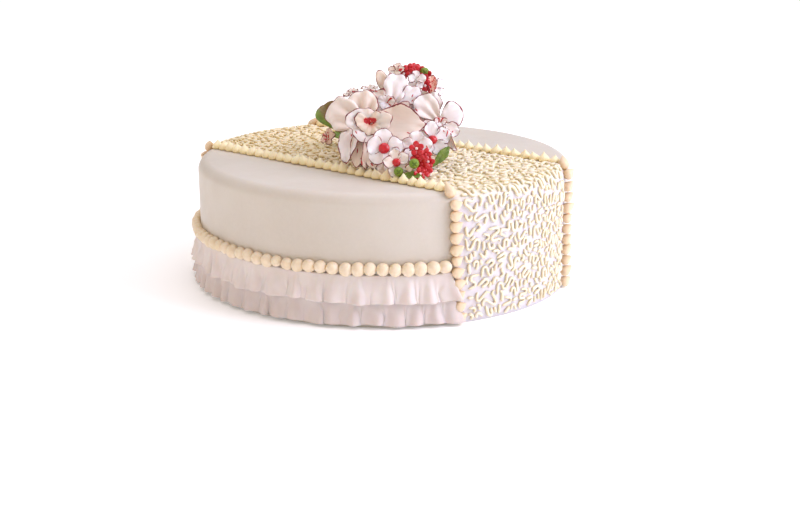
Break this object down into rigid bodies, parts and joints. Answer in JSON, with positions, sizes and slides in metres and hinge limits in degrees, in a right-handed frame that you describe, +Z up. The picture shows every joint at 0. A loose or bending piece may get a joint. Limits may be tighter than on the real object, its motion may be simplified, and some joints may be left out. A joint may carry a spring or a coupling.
{
  "type": "wedding cake",
  "caption": "Round single-tier wedding cake in smooth white icing, with piped borders and pearls, layered frills along one side, and a spray of sugar flowers on top.",
  "frame": {"origin": "on the cake's axis, in the plane that it stands on", "axes": "+Z up along the cake's axis; the lace band runs along Y, with its end nearest the spray towards -Y; the frilled panel is towards -X"},
  "size_m": [0.275, 0.27, 0.1531],
  "materials": {
    "covering_paste": "smooth rolled sugar paste, satin, ivory white",
    "piped_icing": "piped royal icing, soft sheen, cream",
    "frill_paste": "thin rolled sugar paste, matt, white",
    "petal_paste": "thin flower paste, matt, white with hand-painted dark red edges",
    "red_icing": "red flower paste and icing, soft gloss",
    "leaf_paste": "green flower paste, dusted, satin"
  },
  "bodies": {
    "root": {"blossom_back": "petal_paste", "blossom_back_left": "petal_paste", "blossom_back_right": "petal_paste", "blossom_behind": "petal_paste", "blossom_crown": "petal_paste", "blossom_crown_left": "petal_paste", "blossom_crown_right": "petal_paste", "blossom_front": "petal_paste", "blossom_left": "petal_paste", "blossom_low": "petal_paste", "blossom_middle": "petal_paste", "blossom_right": "petal_paste", "border_left_back": "piped_icing", "border_left_front": "piped_icing", "border_left_top": "piped_icing", "border_right_back": "piped_icing", "border_right_front": "piped_icing", "border_right_top": "piped_icing", "bud_back": "leaf_paste", "bud_crown": "leaf_paste", "bud_front": "leaf_paste", "bud_low": "leaf_paste", "cake": "covering_paste", "frill_lower": "frill_paste", "frill_upper": "frill_paste", "lace_back": "piped_icing", "lace_front": "piped_icing", "lace_top": "piped_icing", "leaf_back": "leaf_paste", "leaf_back_left": "leaf_paste", "leaf_front": "leaf_paste", "leaf_left": "leaf_paste", "leaf_right": "leaf_paste", "mound": "frill_paste", "orchid_back": "petal_paste", "orchid_back_lip": "petal_paste", "orchid_front": "petal_paste", "orchid_front_lip": "petal_paste", "orchid_right": "petal_paste", "orchid_right_lip": "petal_paste", "orchid_top": "petal_paste", "orchid_top_lip": "petal_paste", "pearls": "piped_icing", "sprig_back": "red_icing", "sprig_crown": "red_icing", "sprig_front": "red_icing"}
  },
  "joints": []
}
